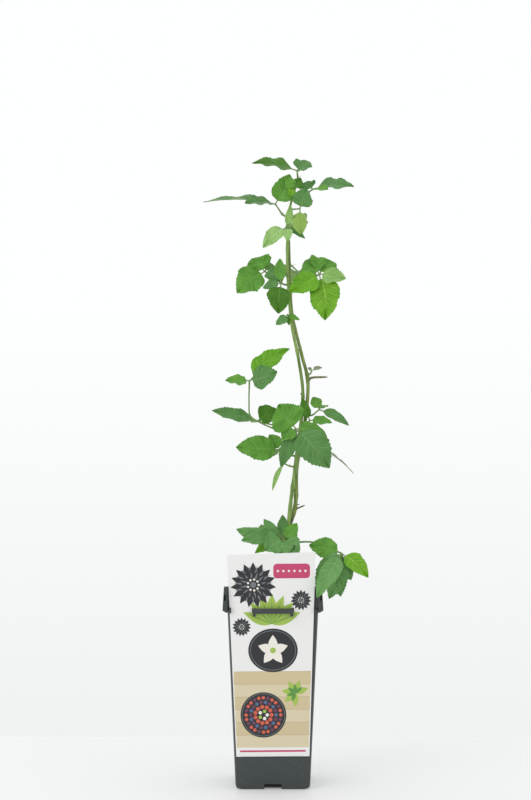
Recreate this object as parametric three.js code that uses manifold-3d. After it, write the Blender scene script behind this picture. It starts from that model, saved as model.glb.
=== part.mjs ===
// A young thornless bramble in a tall square pot. Two green shoots rise from a short woody
// stem in the soil, and carry leaves of several leaflets on stalks. A printed card stands
// in the bay of the pot's front. Millimetres, +Z up, +X to the right, the pot's front faces -Y,
// and the origin is the middle of the pot's underside.
import * as THREE from "three";
import { mergeVertices } from "three/addons/utils/BufferGeometryUtils.js";
import Module from "manifold-3d";

const wasm = await Module();
wasm.setup();

// Clearances
const GAP = 0.3;
const STALK_GAP = 0.35;

// The pot's outer shape, as half widths
const POT_HEIGHT = 200;
const FOOT_HALF = 41;
const NECK_HALF = 49.9;
const LIP_HALF = 53.85;
const LIP_HEIGHT = 5.5;
const POT_CORNER = 9;
const WALL = 2;
const FLOOR = 3;

// The bay in the pot's front, which holds the card behind two side flanges
const BAY_FLOOR_Z = 35.7;
const BAY_DEPTH = 2.2;
const FLANGE_WIDTH = 4.2;
const FLANGE_THICKNESS = 0.8;
const BAY_EDGE_WALL = 1.3;
const BACKING = 2;

// The bar in front of the card, its two legs and the two ears
const BAR_HALF = 22.2;
const BAR_LOW = 194;
const BAR_HIGH = 199.5;
const BAR_THICKNESS = 2.4;
const LEG_WIDTH = 3.3;
const LEG_LOW = 191;
const EAR_HEIGHT = 23;
const EAR_SINK = 3;
const EAR_INNER = 49.5;
const EAR_OUTER = 53.4;
const EAR_FOOT_OUTER = 55;
const EAR_FRONT = -53.5;
const EAR_BACK = -45;
const EAR_WEB = 1.8;
const EAR_WEB_INNER = 44.5;
const EAR_WINDOW = { x: 52.3, z: 211.5, width: 2, height: 6.6 };

// Drainage
const NOTCH = { half: 9.5, height: 6, depth: 10 };
const DRAIN_RADIUS = 4.5;
const DRAIN_PLACE = 21;

// The card
const CARD = { bottom: 36.4, height: 223.2, bottomHalf: 40, topHalf: 48.3, thickness: 0.6 };
const CARD_BACK_CLEAR = 0.4;
const CARD_ROLL = THREE.MathUtils.degToRad(0.45);
const CARD_TOP_SLANT = 1.4;
const SLIT_CLEAR = 0.7;

// The soil and the woody stem that stands on it
const SOIL_TOP = 185;
const SOIL_CLEAR = 0.4;
const WOOD = {
  x: 12.5, y: 7, height: 20, sides: 12,
  flare: 12, root: 8, rootAt: 3.5, waist: 6.9, waistAt: 9, top: 6.8,
};

// Leaf proportions
const LEAF_THICKNESS = 0.6;
const STALK_SHARE = 0.12;
const STALK_RADIUS = 0.75;
const STALK_FULL_LENGTH = 24;
const TIP_HALF = 0.35;
const PETIOLE_RADIUS = 1.15;
const PETIOLE_END_RADIUS = 0.85;
const JOINT_RADIUS = 1.3;
const LEAF_FOLD = 0.18;
const LEAF_ARCH = 0.05;
const BLADE_STEPS = 4;

// The shoots, each through a few bends from the woody stem to its tip
const SHOOTS = {
  shoot_tall: {
    radius: 2.4,
    tipRadius: 1.2,
    steps: 24,
    bends: [
      [16, 6, 206], [18, -3, 292], [26, -3, 360], [33.6, 0, 431], [28.4, -1.5, 474],
      [21.2, -3, 510], [16, 0, 583], [19, 1, 640], [27, 0, 670],
    ],
  },
  shoot_second: {
    radius: 2.6,
    tipRadius: 1.5,
    steps: 24,
    bends: [
      [9, 8, 206], [15, 5, 272], [25, 4, 308], [27, 4, 353], [34, 4, 388], [39.3, 5, 447],
      [33.2, 4, 474], [26.6, 4, 500], [21.5, 4, 524], [19, 5, 570], [18, 6, 606],
    ],
  },
};
const STUB = { shoot: "shoot_second", height: 452, reach: [20, -1, 0.5], radius: 1.4, tipRadius: 1.1 };

// Each leaf: the shoot and the height it leaves it at, the joint where its leaflets meet, any
// bends of its stalk, then a row for each leaflet. A row holds the leaflet's reach from the
// joint to its tip (right, back, up), its width, and how far it looks from straight up (0)
// round to the front (90); a negative look shows its underside to the front.
const LEAVES = [
  { name: "leaf_crown", shoot: "shoot_tall", height: 670, joint: [27, 0, 683],
    leaflets: [[-50, -10, 7, 28, 35], [14, 14, 12, 22, 45], [17, -10, 3, 18, 40]] },
  { name: "leaf_high_right", shoot: "shoot_tall", height: 652, joint: [45, -4, 662],
    leaflets: [[45, -12, 1, 29, 33], [-11, 14, 8, 21, 58], [16, -20, -3, 17, 25]] },
  { name: "leaf_young_tip", shoot: "shoot_tall", height: 656, joint: [24, -14, 661],
    leaflets: [[-8, -3, 13, 13, 80], [7, -2, 12, 13, 80], [-6, -3, -9, 10, 80]] },
  { name: "leaf_high_round", shoot: "shoot_tall", height: 640, joint: [30, -13, 639],
    leaflets: [[7, -10, 22, 23, 85], [2, -5, -29, 17, -85]] },
  { name: "leaf_high_left", shoot: "shoot_tall", height: 632, joint: [3, -4, 645],
    leaflets: [[-80, -12, 1, 28, 23], [-34, -26, -2, 20, 36], [16, -4, 33, 26, 75]] },
  { name: "leaf_high_back", shoot: "shoot_tall", height: 624, joint: [28, 27, 628],
    leaflets: [[4, 26, -8, 23, -45], [-12, 18, 9, 20, -40], [11, 16, 6, 18, -50]] },
  { name: "leaf_young_left", shoot: "shoot_tall", height: 613, joint: [15, -9, 619],
    leaflets: [[-26, -10, -24, 17, 75], [2, -9, -17, 11, 85], [21, 0, -13, 9, 50],
      [4, -6, 24, 9, 80]] },
  { name: "leaf_upper_left", shoot: "shoot_second", height: 556, joint: [-9, 8, 571],
    leaflets: [[-15, 12, 15, 32, 60], [-31, -12, -25, 33, 75], [17, -10, -12, 18, 70],
      [10, 20, 9, 18, 55]] },
  { name: "leaf_upper_centre", shoot: "shoot_tall", height: 566, joint: [9, -15, 556],
    leaflets: [[-3, -6, -34, 26, 85], [-20, 4, -5, 13, 50], [-1, 3, 28, 13, 80]] },
  { name: "leaf_upper_right", shoot: "shoot_second", height: 548, joint: [52, -8, 567],
    leaflets: [[6, -10, -52, 34, 90], [-34, -15, -21, 26, 75], [29, -9, -6, 22, 65],
      [-14, 15, 17, 30, 65], [12, 19, 17, 36, 65]] },
  { name: "leaf_upper_back", shoot: "shoot_second", height: 578, joint: [28, 32, 573],
    leaflets: [[-18, 20, -5, 24, -45], [22, 18, -4, 24, -45], [3, 28, -14, 24, -50]] },
  { name: "leaf_node_small", shoot: "shoot_tall", height: 520, joint: [16.5, -9, 521.5],
    leaflets: [[-13, -3, -11.5, 11, 70], [13.5, -4, -6, 7, 60], [1.5, -2, -12, 6, 80]] },
  { name: "leaf_mid_tiny", shoot: "shoot_second", height: 455, joint: [44, 2, 460],
    leaflets: [[-5, -1, 2.5, 4, 60], [11.5, -2, 2.5, 6, 50]] },
  { name: "leaf_mid_left", shoot: "shoot_tall", height: 386, joint: [-26, -6, 448],
    bends: [[8, -6, 392], [-15, -6, 402], [-25, -6, 409], [-26.5, -6, 424]],
    leaflets: [[45, 8, 36, 26, 55], [31, -12, 10, 28, 60], [-27, -6, 0, 18, 45]] },
  { name: "leaf_mid_right", shoot: "shoot_second", height: 410, joint: [52, 2, 416],
    leaflets: [[-7, 9, 14, 13, 60], [33, -8, -18, 11.5, 60], [4, 22, 5, 14, 20]] },
  { name: "leaf_mid_small", shoot: "shoot_second", height: 398, joint: [41, -8, 404],
    leaflets: [[25, -4, -3, 14, 50], [-8, -1, 25, 11, 75]] },
  { name: "leaf_low_long", shoot: "shoot_second", height: 391, joint: [-18, 8, 403],
    leaflets: [[-50, -8, 12, 18, 45], [26, 8, 11, 24, 70], [-6, 30, -2, 20, 20]] },
  { name: "leaf_front", shoot: "shoot_tall", height: 380, joint: [25, -30, 395],
    leaflets: [[-19, -10, 27, 40, 75], [-16.5, -2, -42, 17, 85], [-15, -8, -12, 17, 80],
      [37, -8, -43, 38, 85], [34, 14, -6, 17, 50]] },
  { name: "leaf_low_big", shoot: "shoot_tall", height: 364, joint: [8, -5, 371],
    leaflets: [[-49, -6, 3, 29, 80], [-12, 4, 17, 16, 75], [-8, 24, -8, 22, 30]] },
  { name: "leaf_low_narrow", shoot: "shoot_tall", height: 352, joint: [12, -8, 356],
    leaflets: [[-12.5, -3, -30.5, 5.5, 85]] },
  { name: "leaf_low_back", shoot: "shoot_second", height: 366, joint: [51, 27, 374],
    leaflets: [[41, 8, -31, 13, 14], [-6, 30, -9, 26, -45], [-24, 17, -5, 24, -40]] },
  { name: "leaf_base_left", shoot: "shoot_second", height: 268, joint: [8, -6, 273],
    leaflets: [[-48.5, -10, 10.5, 19, 75], [-43, -14, -2, 20, 75], [-18, 2, 21, 12.5, 70],
      [3, 5, 25.5, 13, 80], [-28, -3, -17, 13, 70]] },
  { name: "leaf_base_front", shoot: "shoot_tall", height: 258, joint: [12, -17, 272],
    leaflets: [[-21, -14, -11, 27, 75], [17, -14, -14, 26, 75], [-2, -16, -18, 28, 75],
      [15, 3, 18, 15, 75], [14, 4, -1, 14, 75]] },
  { name: "leaf_base_right", shoot: "shoot_tall", height: 268, joint: [76, -20, 257],
    bends: [[46, -6, 268]],
    leaflets: [[-36, 2, 9, 23, 75], [29, -10, -26, 20, 65], [-20, -10, -17, 16, 75],
      [11, 4, -30, 19, 85], [-1, 0, -48, 21, 88], [-14, -4, -50, 24, 85], [-27, -8, -43, 24, 80],
      [-29, -50, -44, 21, 80]] },
  { name: "leaf_base_back", shoot: "shoot_second", height: 280, joint: [8, 36, 276],
    leaflets: [[-27, 12, -3, 26, -40], [2, 28, -16, 28, -45], [20, 16, -6, 22, -50]] },
];

// Colours and finishes
const COLOURS = {
  plastic: new THREE.MeshStandardMaterial({ color: 0x464b4b, roughness: 0.55, metalness: 0 }),
  card: new THREE.MeshStandardMaterial({ color: 0xeeeeee, roughness: 0.5, metalness: 0 }),
  soil: new THREE.MeshStandardMaterial({ color: 0x3b2a1e, roughness: 0.95, metalness: 0 }),
  bark: new THREE.MeshStandardMaterial({ color: 0x6d5338, roughness: 0.85, metalness: 0 }),
  shoot: new THREE.MeshStandardMaterial({ color: 0x5d8a3c, roughness: 0.5, metalness: 0 }),
  leaf: new THREE.MeshStandardMaterial({ color: 0x4c8a3a, roughness: 0.5, metalness: 0 }),
};

const vector = ([x, y, z]) => new THREE.Vector3(x, y, z);

// The pot's half width at a height, on its straight tapering side
function halfAt(z) {
  return FOOT_HALF + ((NECK_HALF - FOOT_HALF) * z) / POT_HEIGHT;
}

// A closed skin over rings of points that each turn anticlockwise about the way they follow
function loft(rings) {
  const count = rings[0].length;
  const index = [];
  for (let step = 0; step + 1 < rings.length; step += 1) {
    for (let i = 0; i < count; i += 1) {
      const here = step * count + i;
      const next = step * count + ((i + 1) % count);
      index.push(here, next, next + count, here, next + count, here + count);
    }
  }
  const last = (rings.length - 1) * count;
  for (let i = 1; i + 1 < count; i += 1) {
    index.push(0, i + 1, i);
    index.push(last, last + i, last + i + 1);
  }
  const geometry = new THREE.BufferGeometry().setFromPoints(rings.flat());
  geometry.setIndex(index);
  return geometry;
}

// A level square ring with round corners
function squareRing(half, corner, z) {
  const ring = [];
  const cornerSteps = 3;
  for (let quarter = 0; quarter < 4; quarter += 1) {
    for (let i = 0; i <= cornerSteps; i += 1) {
      const angle = (Math.PI / 2) * (quarter + i / cornerSteps);
      const side = Math.PI * (quarter / 2 + 0.25);
      const middle = (half - corner) * Math.SQRT2;
      ring.push(new THREE.Vector3(
        Math.cos(side) * middle + Math.cos(angle) * corner,
        Math.sin(side) * middle + Math.sin(angle) * corner,
        z,
      ));
    }
  }
  return ring;
}

// A level round ring
function roundRing(x, y, radius, z, sides) {
  const ring = [];
  for (let i = 0; i < sides; i += 1) {
    const angle = (2 * Math.PI * i) / sides;
    ring.push(new THREE.Vector3(x + Math.cos(angle) * radius, y + Math.sin(angle) * radius, z));
  }
  return ring;
}

// A block between two heights, whose left, right, near and far sides may slope
function block(low, high, left, right, near, far) {
  const ring = (z) => [
    new THREE.Vector3(left(z), near(z), z),
    new THREE.Vector3(right(z), near(z), z),
    new THREE.Vector3(right(z), far(z), z),
    new THREE.Vector3(left(z), far(z), z),
  ];
  return loft([ring(low), ring(high)]);
}

// A block that keeps its distance to the pot's sloping front face
function frontBlock(low, high, sideInset, near, far) {
  const side = (z) => halfAt(z) - sideInset;
  return block(low, high, (z) => -side(z), side, (z) => near - halfAt(z), (z) => far - halfAt(z));
}

// An upright block
function plainBlock(low, high, left, right, near, far) {
  return block(low, high, () => left, () => right, () => near, () => far);
}

// A geometry as a solid that can be joined and cut
function solid(geometry) {
  const bare = geometry.clone();
  bare.deleteAttribute("normal");
  bare.deleteAttribute("uv");
  const merged = mergeVertices(bare);
  return new wasm.Manifold(new wasm.Mesh({
    numProp: 3,
    vertProperties: new Float32Array(merged.attributes.position.array),
    triVerts: new Uint32Array(merged.index.array),
  }));
}

// A solid back as a geometry
function surface(manifold) {
  const mesh = manifold.getMesh();
  const geometry = new THREE.BufferGeometry();
  geometry.setAttribute("position", new THREE.BufferAttribute(mesh.vertProperties, 3));
  geometry.setIndex(new THREE.BufferAttribute(mesh.triVerts, 1));
  geometry.computeVertexNormals();
  return geometry;
}

function named(name, geometry, material) {
  const mesh = new THREE.Mesh(geometry, material);
  mesh.name = name;
  return mesh;
}

// A tapering limb along a row of points, with flat cut ends
function limb(points, radiusAt, sides) {
  const last = points.length - 1;
  let normal = null;
  const rings = points.map((point, i) => {
    const before = points[Math.max(i - 1, 0)];
    const after = points[Math.min(i + 1, last)];
    const along = after.clone().sub(before).normalize();
    const start = Math.abs(along.z) > 0.7 ? new THREE.Vector3(1, 0, 0) : new THREE.Vector3(0, 0, 1);
    const guess = normal ?? start;
    normal = guess.clone().addScaledVector(along, -guess.dot(along)).normalize();
    const side = along.clone().cross(normal);
    const radius = radiusAt(i / last);
    return Array.from({ length: sides }, (_, k) => {
      const angle = (2 * Math.PI * k) / sides;
      return point.clone()
        .addScaledVector(normal, Math.cos(angle) * radius)
        .addScaledVector(side, Math.sin(angle) * radius);
    });
  });
  return loft(rings);
}

// The points and the radius of a shoot, which flares a little where it leaves the wood
function shootPath({ radius, tipRadius, steps, bends }) {
  const curve = new THREE.CatmullRomCurve3(bends.map(vector));
  const flareShare = 0.02;
  const flare = 0.25;
  return {
    points: curve.getSpacedPoints(steps),
    radiusAt: (share) => {
      const taper = THREE.MathUtils.lerp(radius, tipRadius, share);
      return taper * (1 + flare * Math.max(0, 1 - share / flareShare));
    },
  };
}

// Where a stalk leaves a shoot: the shoot's middle, its direction and its radius there
function stemAt(path, height) {
  const last = path.points.length - 1;
  const above = path.points.findIndex((point) => point.z > height);
  const upper = above < 0 ? last : Math.max(above, 1);
  const low = path.points[upper - 1];
  const high = path.points[upper];
  const share = above < 0 ? 1 : (height - low.z) / (high.z - low.z);
  return {
    middle: low.clone().lerp(high, share),
    along: high.clone().sub(low).normalize(),
    radius: path.radiusAt((upper - 1 + share) / last),
    tip: above < 0,
  };
}

// The first point of a stalk, just clear of its shoot, and the way it sets off
function stalkStart(path, height, toward) {
  const stem = stemAt(path, height);
  if (stem.tip) {
    return { start: stem.middle.clone().addScaledVector(stem.along, STALK_GAP), out: stem.along };
  }
  const out = toward.clone().sub(stem.middle).setZ(0);
  out.addScaledVector(stem.along, -out.dot(stem.along)).normalize();
  return { start: stem.middle.clone().addScaledVector(out, stem.radius + STALK_GAP), out };
}

// How wide a leaflet is along its rib, as a share of its full half width: round at its foot,
// pointed at its tip
function bladeShare(along) {
  const foot = 0.5;
  const tip = 0.85;
  const widest = foot / (foot + tip);
  const full = widest ** foot * (1 - widest) ** tip;
  return (along ** foot * (1 - along) ** tip) / full;
}

// One leaflet, from its root inside the joint at the origin, along its own little stalk and
// its blade, to its tip
function leaflet([right, back, up, width, look]) {
  const tip = new THREE.Vector3(right, back, up);
  const length = tip.length();
  const along = tip.clone().normalize();
  const angle = THREE.MathUtils.degToRad(look);
  const face = new THREE.Vector3(0, -Math.sin(angle), Math.cos(angle));
  face.addScaledVector(along, -face.dot(along)).normalize();
  const across = face.clone().cross(along);
  const crest = tip.clone().multiplyScalar(0.5).addScaledVector(face, 2 * LEAF_ARCH * length);
  const rib = new THREE.QuadraticBezierCurve3(new THREE.Vector3(), crest, tip);
  const bladeThickness = Math.max(LEAF_THICKNESS, length / 90);
  const stalkHalf = STALK_RADIUS * Math.min(1, length / STALK_FULL_LENGTH);
  const section = (place, half, thickness) => {
    const middle = rib.getPoint(place);
    const point = (sideways, lift) => middle.clone()
      .addScaledVector(across, sideways)
      .addScaledVector(face, Math.abs(sideways) * LEAF_FOLD + lift * thickness);
    return [
      point(half, -0.5), point(half, 0.5), point(0, 0.6),
      point(-half, 0.5), point(-half, -0.5), point(0, -0.6),
    ];
  };
  const rings = [section(0, stalkHalf, 2 * stalkHalf)];
  for (let i = 0; i <= BLADE_STEPS; i += 1) {
    const share = (i / BLADE_STEPS) ** 1.3;
    const half = Math.max((width / 2) * bladeShare(share), i === 0 ? stalkHalf : TIP_HALF);
    const thickness = i === 0 ? 2 * stalkHalf : bladeThickness;
    rings.push(section(STALK_SHARE + (1 - STALK_SHARE) * share, half, thickness));
  }
  return solid(loft(rings));
}

// A whole leaf: the stalk from its shoot, the joint, and its leaflets
function leaf({ name, shoot, height, joint, bends = [], leaflets }, paths) {
  const middle = vector(joint);
  const first = bends.length ? vector(bends[0]) : middle;
  const { start, out } = stalkStart(paths[shoot], height, first);
  const lead = Math.min(5, start.distanceTo(first) / 3);
  const stops = [start, start.clone().addScaledVector(out, lead), ...bends.map(vector), middle];
  const curve = new THREE.CatmullRomCurve3(stops.map((stop) => stop.clone().sub(middle)));
  const steps = 3 + 3 * bends.length;
  const points = [curve.getPoint(0), curve.getPointAt(Math.min(0.5, 1 / curve.getLength()))];
  for (let i = 1; i <= steps; i += 1) {
    points.push(curve.getPointAt(i / steps));
  }
  const radius = (share) => THREE.MathUtils.lerp(PETIOLE_RADIUS, PETIOLE_END_RADIUS, share);
  let whole = solid(limb(points, radius, 6));
  whole = whole.add(solid(new THREE.IcosahedronGeometry(JOINT_RADIUS, 0)));
  for (const row of leaflets) {
    whole = whole.add(leaflet(row));
  }
  const mesh = named(name, surface(whole), COLOURS.leaf);
  mesh.position.copy(middle);
  return mesh;
}

// The pot: a tapering square shell with a lip, a card bay, a bar, ears and drain holes
function pot() {
  const lipLow = POT_HEIGHT - LIP_HEIGHT;
  const outer = loft([
    squareRing(halfAt(0) - 2.4, POT_CORNER - 2, 0),
    squareRing(halfAt(1) - 0.7, POT_CORNER - 1, 1.2),
    squareRing(halfAt(3.5), POT_CORNER, 3.5),
    squareRing(halfAt(POT_HEIGHT), POT_CORNER + 1, POT_HEIGHT),
  ]);
  const lip = loft([
    squareRing(LIP_HALF - 0.7, POT_CORNER + 3, lipLow),
    squareRing(LIP_HALF, POT_CORNER + 4, lipLow + 0.9),
    squareRing(LIP_HALF, POT_CORNER + 4, POT_HEIGHT - 0.9),
    squareRing(LIP_HALF - 0.9, POT_CORNER + 3, POT_HEIGHT),
  ]);
  const inner = loft([
    squareRing(halfAt(FLOOR) - WALL, POT_CORNER - WALL, FLOOR),
    squareRing(halfAt(POT_HEIGHT + 2) - WALL, POT_CORNER - WALL, POT_HEIGHT + 2),
  ]);
  const bayBack = BAY_DEPTH + BACKING;
  const over = POT_HEIGHT + 1;
  let body = solid(outer).add(solid(lip)).subtract(solid(inner));
  body = body.add(solid(frontBlock(FLOOR - 1, POT_HEIGHT, WALL - 0.3, BAY_DEPTH - 0.5, bayBack)));
  body = body.subtract(solid(frontBlock(BAY_FLOOR_Z, over, FLANGE_WIDTH, -9, BAY_DEPTH)));
  body = body.subtract(
    solid(frontBlock(BAY_FLOOR_Z, over, BAY_EDGE_WALL, FLANGE_THICKNESS, BAY_DEPTH)),
  );
  body = body.add(solid(
    plainBlock(BAR_LOW, BAR_HIGH, -BAR_HALF, BAR_HALF, -LIP_HALF, BAR_THICKNESS - LIP_HALF),
  ));
  const legBack = BAY_DEPTH + BACKING / 2 - halfAt(BAR_LOW);
  for (const side of [-1, 1]) {
    const legs = [side * (BAR_HALF - LEG_WIDTH), side * BAR_HALF].sort((a, b) => a - b);
    body = body.add(solid(plainBlock(LEG_LOW, BAR_HIGH, ...legs, -LIP_HALF, legBack)));
    body = body.add(ear(side));
  }
  for (const [x, y] of [[0, -1], [1, 0], [0, 1], [-1, 0]]) {
    const middle = FOOT_HALF + 5 - NOTCH.depth / 2;
    const across = [NOTCH.half, NOTCH.depth / 2 + 5];
    const [halfX, halfY] = x === 0 ? across : across.reverse();
    body = body.subtract(solid(plainBlock(
      -1, NOTCH.height,
      x * middle - halfX, x * middle + halfX,
      y * middle - halfY, y * middle + halfY,
    )));
  }
  for (const x of [-DRAIN_PLACE, DRAIN_PLACE]) {
    for (const y of [-DRAIN_PLACE, DRAIN_PLACE]) {
      const hole = new THREE.CylinderGeometry(DRAIN_RADIUS, DRAIN_RADIUS, 3 * FLOOR, 12);
      hole.rotateX(Math.PI / 2);
      hole.translate(x, y, 0);
      body = body.subtract(solid(hole));
    }
  }
  return named("pot", surface(body), COLOURS.plastic);
}

// An ear that rises from a front corner of the rim: a post with a window, and a web behind it
function ear(side) {
  const foot = POT_HEIGHT - EAR_SINK;
  const top = POT_HEIGHT + EAR_HEIGHT;
  const outer = (z) => EAR_OUTER + (EAR_FOOT_OUTER - EAR_OUTER) * ((top - z) / (top - foot));
  const between = (inside, outside) => (side > 0
    ? [() => inside, outside]
    : [(z) => -outside(z), () => -inside]);
  const post = block(foot, top, ...between(EAR_INNER, outer), () => EAR_FRONT, () => EAR_BACK);
  const web = block(
    foot, top, ...between(EAR_WEB_INNER, () => EAR_OUTER - 1), () => EAR_BACK - EAR_WEB, () => EAR_BACK,
  );
  const { x, z, width, height } = EAR_WINDOW;
  const window = plainBlock(
    z - height / 2, z + height / 2,
    side * x - width / 2, side * x + width / 2,
    EAR_FRONT - 1, EAR_BACK - EAR_WEB - 1,
  );
  return solid(post).add(solid(web)).subtract(solid(window));
}

// The card: a tall sheet a little wider at its top, with slits for the legs of the bar
function card() {
  const { bottom, height, bottomHalf, topHalf, thickness } = CARD;
  const outline = new THREE.Shape([
    new THREE.Vector2(-bottomHalf, 0),
    new THREE.Vector2(bottomHalf, 0),
    new THREE.Vector2(topHalf, height + CARD_TOP_SLANT),
    new THREE.Vector2(-topHalf, height - CARD_TOP_SLANT),
  ]);
  let sheet = solid(new THREE.ExtrudeGeometry(outline, { depth: thickness, bevelEnabled: false }));
  const slitHeight = BAR_HIGH - LEG_LOW + 2 * SLIT_CLEAR;
  const slitMiddle = (BAR_HIGH + LEG_LOW) / 2 - bottom;
  const shift = Math.tan(CARD_ROLL) * slitMiddle;
  for (const side of [-1, 1]) {
    const slit = new THREE.BoxGeometry(LEG_WIDTH + 2 * SLIT_CLEAR, slitHeight, 4 * thickness);
    slit.translate(side * (BAR_HALF - LEG_WIDTH / 2) + shift, slitMiddle, 0);
    sheet = sheet.subtract(solid(slit));
  }
  const lean = Math.atan((NECK_HALF - FOOT_HALF) / POT_HEIGHT);
  const mesh = named("label_card", surface(sheet), COLOURS.card);
  mesh.rotation.set(Math.PI / 2 + lean, 0, CARD_ROLL);
  mesh.position.set(0, BAY_DEPTH - CARD_BACK_CLEAR - halfAt(bottom), bottom);
  return mesh;
}

// The soil: a tapering block that fills the pot to just under its rim
function soil() {
  const low = FLOOR + GAP;
  const inset = WALL + SOIL_CLEAR;
  const fill = solid(loft([
    squareRing(halfAt(low) - inset, POT_CORNER - WALL, low),
    squareRing(halfAt(SOIL_TOP) - inset, POT_CORNER - WALL, SOIL_TOP),
  ]));
  const bayBack = BAY_DEPTH + BACKING + SOIL_CLEAR;
  const front = solid(frontBlock(0, SOIL_TOP + 1, -1, -1, bayBack));
  return named("soil", surface(fill.subtract(front)), COLOURS.soil);
}

// The short woody stem that the shoots grow from, flaring to its flat cut at the soil
function woodyStem() {
  const { x, y, height, sides, flare, root, rootAt, waist, waistAt, top } = WOOD;
  const foot = SOIL_TOP + GAP;
  const ring = (radius, z) => roundRing(x, y, radius, foot + z, sides);
  const rings = [ring(flare, 0), ring(root, rootAt), ring(waist, waistAt), ring(top, height)];
  return named("woody_stem", loft(rings), COLOURS.bark);
}

const plant = new THREE.Group();
plant.add(pot(), card(), soil(), woodyStem());

const paths = {};
for (const [name, shoot] of Object.entries(SHOOTS)) {
  paths[name] = shootPath(shoot);
  plant.add(named(name, limb(paths[name].points, paths[name].radiusAt, 8), COLOURS.shoot));
}

const stubReach = vector(STUB.reach);
const stubOut = stalkStart(paths[STUB.shoot], STUB.height,
  stemAt(paths[STUB.shoot], STUB.height).middle.add(stubReach));
const stubEnd = stubOut.start.clone().addScaledVector(stubOut.out, stubReach.length());
const stubRadius = (share) => THREE.MathUtils.lerp(STUB.radius, STUB.tipRadius, share);
plant.add(named("side_stub", limb([stubOut.start, stubEnd], stubRadius, 8), COLOURS.shoot));

for (const row of LEAVES) {
  plant.add(leaf(row, paths));
}

export default plant;
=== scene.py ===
import math

import bmesh
import bpy
import numpy as np
from mathutils import Matrix, Vector, noise


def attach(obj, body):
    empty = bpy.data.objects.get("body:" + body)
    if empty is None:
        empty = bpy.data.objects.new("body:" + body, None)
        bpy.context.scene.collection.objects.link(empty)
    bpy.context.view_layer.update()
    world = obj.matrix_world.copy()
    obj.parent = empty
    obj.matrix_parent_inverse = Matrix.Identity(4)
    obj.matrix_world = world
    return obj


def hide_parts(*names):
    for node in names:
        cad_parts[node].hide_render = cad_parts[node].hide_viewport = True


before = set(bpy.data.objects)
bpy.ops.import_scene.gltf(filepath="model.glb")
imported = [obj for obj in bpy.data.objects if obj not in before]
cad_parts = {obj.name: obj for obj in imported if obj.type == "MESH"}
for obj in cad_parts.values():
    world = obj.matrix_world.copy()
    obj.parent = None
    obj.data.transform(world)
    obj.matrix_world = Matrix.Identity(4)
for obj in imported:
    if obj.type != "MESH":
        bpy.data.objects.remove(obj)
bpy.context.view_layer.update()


# The pot is one injection moulding of dark grey polypropylene, 200 mm high: a tapering square
# shell with a rolled lip, and a bay in its front with two ears and a bar that hold the card.
MM = 0.001
POT_GREY = "#3c4242"
POT_SHADE = "#323838"
POT_DUST = "#4e5554"
CLOUD = 35.7143 * MM
SCUFF = 3.84615 * MM
GRAIN = 0.5 * MM
GRAIN_DEPTH = 0.04 * MM
SEAM = 0.002 * MM
FLAT_ANGLE = 0.5
EDGE_ANGLE = 35
EDGE_ROUND = 0.4 * MM
# Blender's names for the kinds of node that come up most, here and further down
NOISE = "ShaderNodeTexNoise"
RANGE = "ShaderNodeMapRange"


def linear(colour):
    """An sRGB hex colour as linear red, green, blue and alpha."""
    channels = [int(colour[i : i + 2], 16) / 255 for i in (1, 3, 5)]
    return [c / 12.92 if c <= 0.04045 else ((c + 0.055) / 1.055) ** 2.4 for c in channels] + [1]


def add(tree, kind, inputs, **settings):
    """Adds a node with its settings; an input is a value, an output or a node, for its first."""
    made = tree.nodes.new(kind)
    for name, value in settings.items():
        setattr(made, name, value)
    for socket, value in inputs.items():
        if isinstance(value, bpy.types.Node):
            value = value.outputs[0]
        if isinstance(value, bpy.types.NodeSocket):
            tree.links.new(value, made.inputs[socket])
        else:
            made.inputs[socket].default_value = value
    return made


def new_finish(name, **fixed):
    """A new material: itself, its tree, its shader and its Object coordinates."""
    material = bpy.data.materials.new(name)
    material.use_nodes = True
    tree = material.node_tree
    shader = tree.nodes["Principled BSDF"]
    for socket, value in fixed.items():
        shader.inputs[socket.replace("_", " ")].default_value = value
    place = add(tree, "ShaderNodeTexCoord", {}).outputs["Object"]
    return material, tree, shader, place


def overlaid(tree, pattern, low, high, under, over, most=1):
    """A colour over another as a pattern rises from low to high, up to the share most."""
    limits = {"Value": pattern, "From Min": low, "From Max": high, "To Max": most}
    share = add(tree, RANGE, limits)
    under, over = (linear(c) if isinstance(c, str) else c for c in (under, over))
    return add(tree, "ShaderNodeMix", {0: share, 6: under, 7: over}, data_type="RGBA").outputs[2]


def surfaced(tree, shader, colour, pattern, depth, strength=1, invert=False):
    """Gives a finish its colour, and a relief that is a pattern at the given depth."""
    relief = {"Height": pattern, "Strength": strength, "Distance": depth}
    bump = add(tree, "ShaderNodeBump", relief, invert=invert)
    tree.links.new(colour, shader.inputs["Base Color"])
    tree.links.new(bump.outputs[0], shader.inputs["Normal"])


def new_piece(name, data, *materials):
    """An object at the origin of the scene, with its materials."""
    piece = bpy.data.objects.new(name, data)
    bpy.context.scene.collection.objects.link(piece)
    if materials:
        data.materials.clear()
    for material in materials:
        data.materials.append(material)
    return piece


def smooth(mesh, angle):
    """Smooth shading, with sharp edges where faces meet at more than the angle in degrees."""
    mesh.shade_smooth()
    mesh.set_sharp_from_angle(angle=math.radians(angle))


def plain_mesh(piece):
    """Puts a piece's finished shape into its mesh and drops its modifiers."""
    graph = bpy.context.evaluated_depsgraph_get()
    mesh = bpy.data.meshes.new_from_object(piece.evaluated_get(graph), depsgraph=graph)
    piece.modifiers.clear()
    piece.data = mesh
    return piece


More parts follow.
